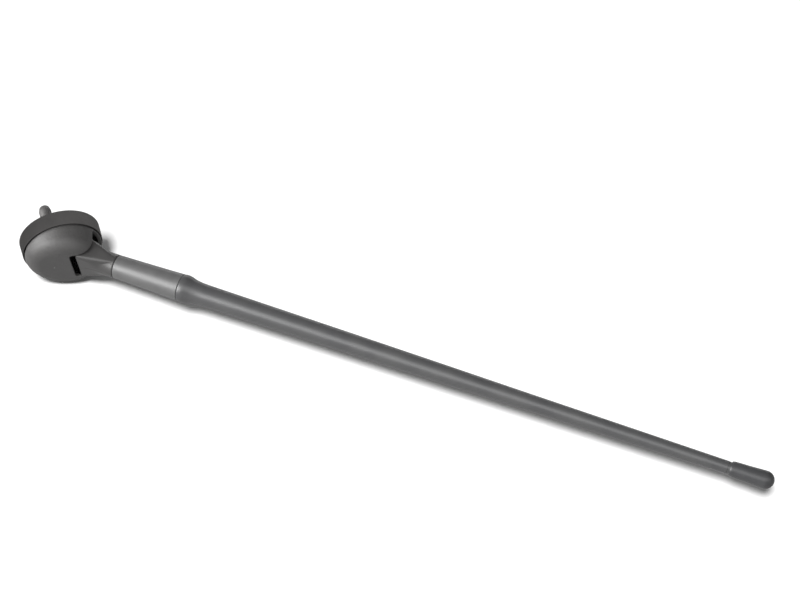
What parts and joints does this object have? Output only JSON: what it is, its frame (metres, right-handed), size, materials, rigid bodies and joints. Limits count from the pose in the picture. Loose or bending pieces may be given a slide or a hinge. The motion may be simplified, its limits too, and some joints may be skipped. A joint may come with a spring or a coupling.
{
  "type": "roof antenna",
  "caption": "Car roof antenna: round base with rubber gasket and domed cover, tilting foot in a slot, straight tapered rubber mast with a ferrule and a club-shaped tip.",
  "frame": {"origin": "on the axis of the mounting stud, in the roof plane under the gasket", "axes": "+Z is the roof normal, away from the car; the mast leans towards +X; the tilt axis is along Y"},
  "size_m": [0.3358, 0.045, 0.2929],
  "materials": {
    "gasket_rubber": "matt moulded rubber",
    "plate_plastic": "matt moulded plastic",
    "cover_plastic": "fine-grained moulded plastic",
    "fixing_steel": "zinc plated",
    "stud_metal": "dark plated",
    "bracket_metal": "black plated casting",
    "fibre": "pressed fibre",
    "foot_paint": "fine-grained black paint",
    "insert_brass": "turned",
    "seal_rubber": "matt",
    "ferrule_satin": "satin dark coating",
    "rod_fibre": "drawn glass fibre",
    "winding_copper": "enamelled copper",
    "mast_rubber": "satin moulded rubber",
    "cap_rubber": "satin moulded rubber"
  },
  "bodies": {
    "base": {"base_gasket": "gasket_rubber", "base_plate": "plate_plastic", "base_cover": "cover_plastic", "cover_screws": "fixing_steel", "mounting_stud": "stud_metal", "stud_lock_washer": "fixing_steel", "stud_nut": "fixing_steel", "hinge_bracket": "bracket_metal", "pivot_screw": "fixing_steel", "pivot_spring_washer": "fixing_steel", "friction_washers": "fibre"},
    "foot": {"swivel_foot": "foot_paint", "foot_insert": "insert_brass"},
    "seal": {"mast_seal": "seal_rubber"},
    "mast": {"mast_stud": "insert_brass", "mast_ferrule": "ferrule_satin", "core_rod": "rod_fibre", "radiator_winding": "winding_copper", "mast_sheath": "mast_rubber", "tip_cap": "cap_rubber"}
  },
  "joints": [
    {"name": "foot_tilt", "type": "hinge", "parent": "base", "child": "foot", "pos_m": [0.0127, 0, 0.0128], "axis": [0, -1, 0], "range_deg": [-20, 11]},
    {"name": "mast_lift", "type": "slide", "parent": "foot", "child": "seal", "axis": [0.7678, 0, 0.6406], "range_m": [0, 0.008]},
    {"name": "mast_unscrew", "type": "hinge", "parent": "seal", "child": "mast", "pos_m": [0.02976, 0, 0.03113], "axis": [0.7678, 0, 0.6406], "range_deg": [0, 3610]}
  ],
  "couplings": [
    {"joint": "mast_unscrew", "follows": "mast_lift", "rad_per_m": 7854}
  ]
}
